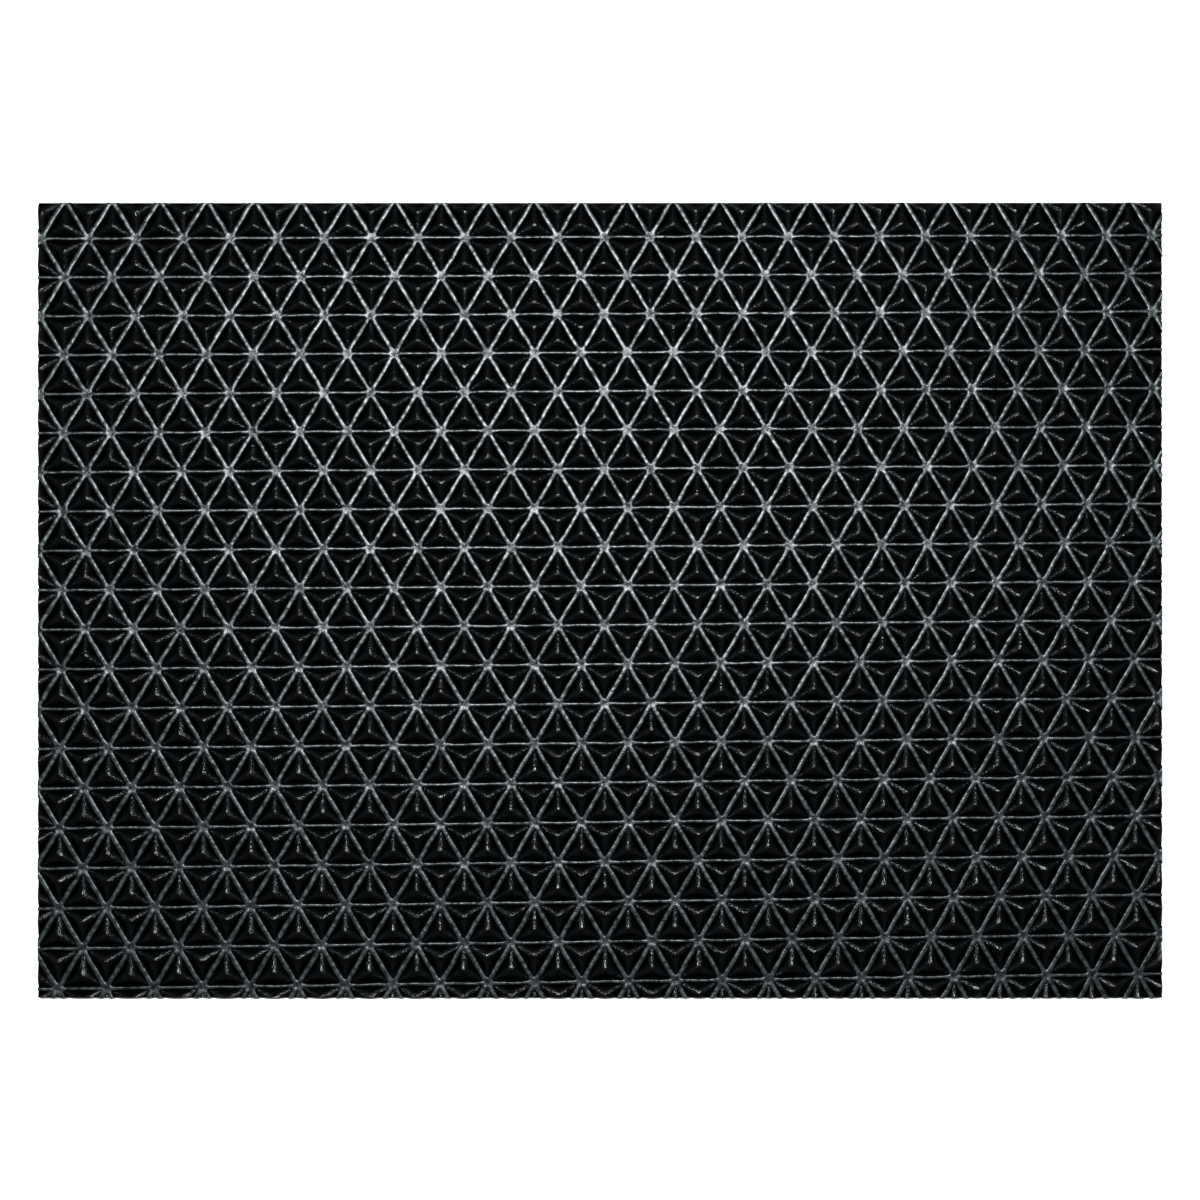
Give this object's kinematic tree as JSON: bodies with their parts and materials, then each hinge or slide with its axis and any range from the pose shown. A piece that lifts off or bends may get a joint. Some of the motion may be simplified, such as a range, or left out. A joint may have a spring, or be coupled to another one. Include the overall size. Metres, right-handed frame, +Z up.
{
  "type": "door mat",
  "caption": "Flat rectangular rubber door mat with a raised triangular rib lattice, a low three-sided stud in each cell, and grip feet underneath.",
  "frame": {"origin": "centre of the underside, on the floor", "axes": "+Z up, X along the long side, +Y towards the back edge"},
  "size_m": [0.7, 0.495, 0.0084],
  "materials": {
    "face_rubber": "glossy moulded black rubber with a fine grain",
    "rib_rubber": "glossy black rubber, worn a little grey along the crowns",
    "stud_rubber": "glossy moulded black rubber",
    "scrim_fabric": "plain woven polyester soaked in black rubber",
    "backing_rubber": "matte black rubber with a cloth-pressed grain"
  },
  "bodies": {
    "root": {"backing_sheet": "backing_rubber", "reinforcing_scrim": "scrim_fabric", "wear_sheet": "face_rubber", "rib_lattice": "rib_rubber", "upright_pyramids": "stud_rubber", "inverted_pyramids": "stud_rubber"}
  },
  "joints": []
}
